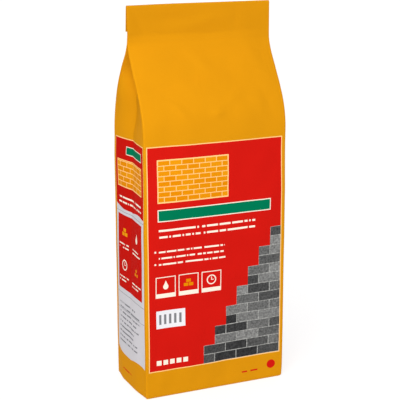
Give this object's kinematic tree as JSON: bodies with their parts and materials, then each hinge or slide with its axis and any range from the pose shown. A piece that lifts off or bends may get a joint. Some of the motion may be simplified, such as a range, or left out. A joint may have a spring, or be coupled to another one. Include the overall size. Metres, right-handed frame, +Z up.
{
  "type": "cement bag",
  "caption": "Small side-gusset paper sack full of cement, standing on its flat base, its top pinched flat and folded over to the back.",
  "frame": {"origin": "on the floor, under the middle of the standing bag", "axes": "+Z up, -Y out of the printed front, +X to the right as the front is seen"},
  "size_m": [0.15, 0.0804, 0.38],
  "materials": {
    "printed_paper": "satin film over laminated paper, printed yellow-orange with red panels",
    "cement_powder": "dry grey powder, packed"
  },
  "bodies": {
    "root": {"sack": "printed_paper", "cement_fill": "cement_powder"}
  },
  "joints": []
}
